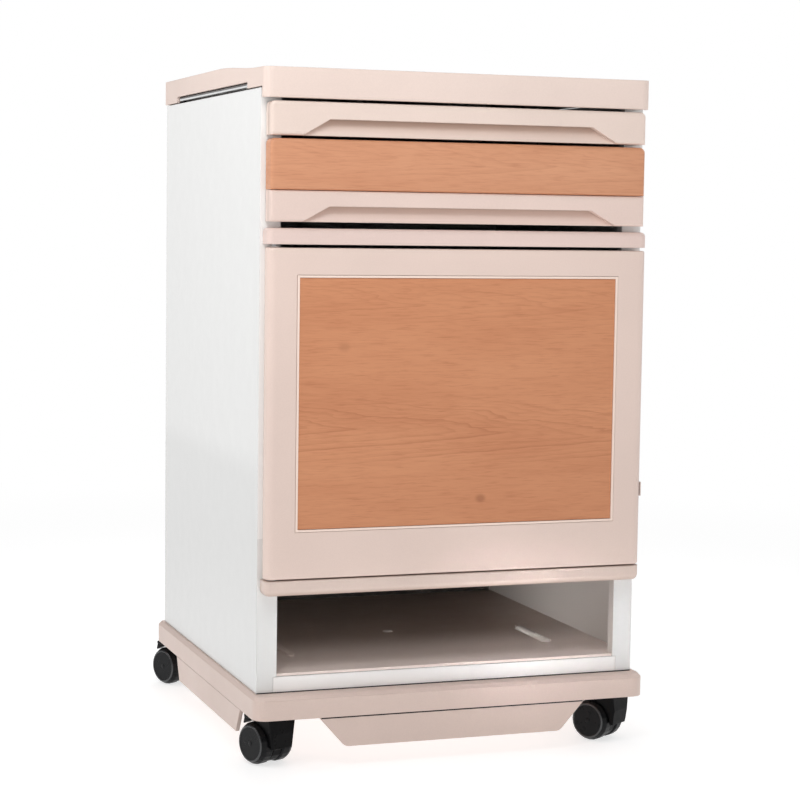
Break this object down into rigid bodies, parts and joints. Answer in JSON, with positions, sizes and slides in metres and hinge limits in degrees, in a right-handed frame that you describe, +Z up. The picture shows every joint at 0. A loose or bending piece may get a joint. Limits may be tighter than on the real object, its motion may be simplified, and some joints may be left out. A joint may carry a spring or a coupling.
{
  "type": "bedside cabinet",
  "caption": "Ward bedside cabinet on twin-wheel casters, with sliding board, drawer, hinged door, open compartment and pull-out towel rails.",
  "frame": {"origin": "on the floor, below the middle of the cabinet", "axes": "+Z up, -Y towards the front, +X to the right seen from the front"},
  "size_m": [0.5039, 0.531, 0.817],
  "materials": {
    "pink_abs": "fine grain",
    "white_gloss": "gloss",
    "white_plastic": "satin",
    "beech_laminate": "satin beech pattern",
    "pale_bead": "satin",
    "black_plastic": "satin",
    "steel": "bright",
    "catch_plastic": "satin"
  },
  "bodies": {
    "carcass": {"top_cover": "pink_abs", "left_side_panel": "white_gloss", "right_side_panel": "white_gloss", "back_panel": "white_gloss", "bottom_front_rail": "white_gloss", "top_cross_rail": "white_gloss", "bottom_tray": "pink_abs", "lower_partition": "white_plastic", "upper_partition": "white_plastic", "lower_lip": "pink_abs", "upper_lip": "pink_abs", "cabinet_shelf": "white_plastic", "base_frame": "pink_abs", "front_skirt": "pink_abs", "magnet_catch": "catch_plastic", "left_skirt": "pink_abs", "right_skirt": "pink_abs", "board_guide_left": "white_plastic", "board_guide_right": "white_plastic", "drawer_slide_left": "steel", "drawer_slide_right": "steel", "rail_guide_left": "black_plastic", "rail_guide_right": "black_plastic", "caster_stem_front_left": "steel", "caster_stem_front_right": "steel", "caster_stem_rear_left": "steel", "caster_stem_rear_right": "steel"},
    "board": {"dining_board": "white_plastic", "dining_board_front": "pink_abs"},
    "drawer": {"drawer_box": "white_plastic", "drawer_face": "beech_laminate", "drawer_handle_strip": "pink_abs", "drawer_runner_left": "steel", "drawer_runner_right": "steel"},
    "door": {"door_frame": "pink_abs", "door_bead": "pale_bead", "door_wood_panel": "beech_laminate", "door_liner": "white_plastic", "door_pull": "pink_abs", "strike_plate": "steel", "door_pin_bottom": "steel", "door_pin_top": "steel"},
    "towel_left": {"towel_rail_left": "steel"},
    "towel_right": {"towel_rail_right": "steel"},
    "swivel_front_left": {"caster_hood_front_left": "black_plastic"},
    "wheel_front_left_l": {"caster_wheel_front_left_left": "black_plastic"},
    "wheel_front_left_r": {"caster_wheel_front_left_right": "black_plastic"},
    "brake_front_left": {"caster_brake_front_left": "black_plastic"},
    "swivel_front_right": {"caster_hood_front_right": "black_plastic"},
    "wheel_front_right_l": {"caster_wheel_front_right_left": "black_plastic"},
    "wheel_front_right_r": {"caster_wheel_front_right_right": "black_plastic"},
    "brake_front_right": {"caster_brake_front_right": "black_plastic"},
    "swivel_rear_left": {"caster_hood_rear_left": "black_plastic"},
    "wheel_rear_left_l": {"caster_wheel_rear_left_left": "black_plastic"},
    "wheel_rear_left_r": {"caster_wheel_rear_left_right": "black_plastic"},
    "brake_rear_left": {"caster_brake_rear_left": "black_plastic"},
    "swivel_rear_right": {"caster_hood_rear_right": "black_plastic"},
    "wheel_rear_right_l": {"caster_wheel_rear_right_left": "black_plastic"},
    "wheel_rear_right_r": {"caster_wheel_rear_right_right": "black_plastic"},
    "brake_rear_right": {"caster_brake_rear_right": "black_plastic"}
  },
  "joints": [
    {"name": "board_slide", "type": "slide", "parent": "carcass", "child": "board", "axis": [0, -1, 0], "range_m": [0, 0.3]},
    {"name": "drawer_slide", "type": "slide", "parent": "carcass", "child": "drawer", "axis": [0, -1, 0], "range_m": [0, 0.32]},
    {"name": "door_hinge", "type": "hinge", "parent": "carcass", "child": "door", "pos_m": [-0.225, -0.2555, 0.4151], "axis": [0, 0, -1], "range_deg": [0, 110]},
    {"name": "towel_rail_left_slide", "type": "slide", "parent": "carcass", "child": "towel_left", "axis": [-1, 0, 0], "range_m": [0, 0.095]},
    {"name": "towel_rail_right_slide", "type": "slide", "parent": "carcass", "child": "towel_right", "axis": [1, 0, 0], "range_m": [0, 0.095]},
    {"name": "swivel_front_left", "type": "hinge", "parent": "carcass", "child": "swivel_front_left", "pos_m": [-0.2115, -0.2288, 0.055], "axis": [0, 0, 1], "continuous": true},
    {"name": "roll_front_left_left", "type": "hinge", "parent": "swivel_front_left", "child": "wheel_front_left_l", "pos_m": [-0.23178, -0.21866, 0.025], "axis": [0.9272, 0.3746, 0], "continuous": true},
    {"name": "roll_front_left_right", "type": "hinge", "parent": "swivel_front_left", "child": "wheel_front_left_r", "pos_m": [-0.20396, -0.20742, 0.025], "axis": [0.9272, 0.3746, 0], "continuous": true},
    {"name": "brake_front_left", "type": "hinge", "parent": "swivel_front_left", "child": "brake_front_left", "pos_m": [-0.22049, -0.20655, 0.047], "axis": [-0.9272, -0.3746, 0], "range_deg": [0, 12]},
    {"name": "swivel_front_right", "type": "hinge", "parent": "carcass", "child": "swivel_front_right", "pos_m": [0.2195, -0.2288, 0.055], "axis": [0, 0, 1], "continuous": true},
    {"name": "roll_front_right_left", "type": "hinge", "parent": "swivel_front_right", "child": "wheel_front_right_l", "pos_m": [0.19766, -0.22271, 0.025], "axis": [0.8387, 0.5446, 0], "continuous": true},
    {"name": "roll_front_right_right", "type": "hinge", "parent": "swivel_front_right", "child": "wheel_front_right_r", "pos_m": [0.22282, -0.20637, 0.025], "axis": [0.8387, 0.5446, 0], "continuous": true},
    {"name": "brake_front_right", "type": "hinge", "parent": "swivel_front_right", "child": "brake_front_right", "pos_m": [0.20643, -0.20867, 0.047], "axis": [-0.8387, -0.5446, 0], "range_deg": [0, 12]},
    {"name": "swivel_rear_left", "type": "hinge", "parent": "carcass", "child": "swivel_rear_left", "pos_m": [-0.2115, 0.219, 0.055], "axis": [0, 0, 1], "continuous": true},
    {"name": "roll_rear_left_left", "type": "hinge", "parent": "swivel_rear_left", "child": "wheel_rear_left_l", "pos_m": [-0.23236, 0.22789, 0.025], "axis": [0.9026, 0.4305, 0], "continuous": true},
    {"name": "roll_rear_left_right", "type": "hinge", "parent": "swivel_rear_left", "child": "wheel_rear_left_r", "pos_m": [-0.20528, 0.2408, 0.025], "axis": [0.9026, 0.4305, 0], "continuous": true},
    {"name": "brake_rear_left", "type": "hinge", "parent": "swivel_rear_left", "child": "brake_rear_left", "pos_m": [-0.22183, 0.24066, 0.047], "axis": [-0.9026, -0.4305, 0], "range_deg": [0, 12]},
    {"name": "swivel_rear_right", "type": "hinge", "parent": "carcass", "child": "swivel_rear_right", "pos_m": [0.2195, 0.219, 0.055], "axis": [0, 0, 1], "continuous": true},
    {"name": "roll_rear_right_left", "type": "hinge", "parent": "swivel_rear_right", "child": "wheel_rear_right_l", "pos_m": [0.21196, 0.24038, 0.025], "axis": [0.9272, -0.3746, 0], "continuous": true},
    {"name": "roll_rear_right_right", "type": "hinge", "parent": "swivel_rear_right", "child": "wheel_rear_right_r", "pos_m": [0.23978, 0.22914, 0.025], "axis": [0.9272, -0.3746, 0], "continuous": true},
    {"name": "brake_rear_right", "type": "hinge", "parent": "swivel_rear_right", "child": "brake_rear_right", "pos_m": [0.22849, 0.24125, 0.047], "axis": [-0.9272, 0.3746, 0], "range_deg": [0, 12]}
  ]
}
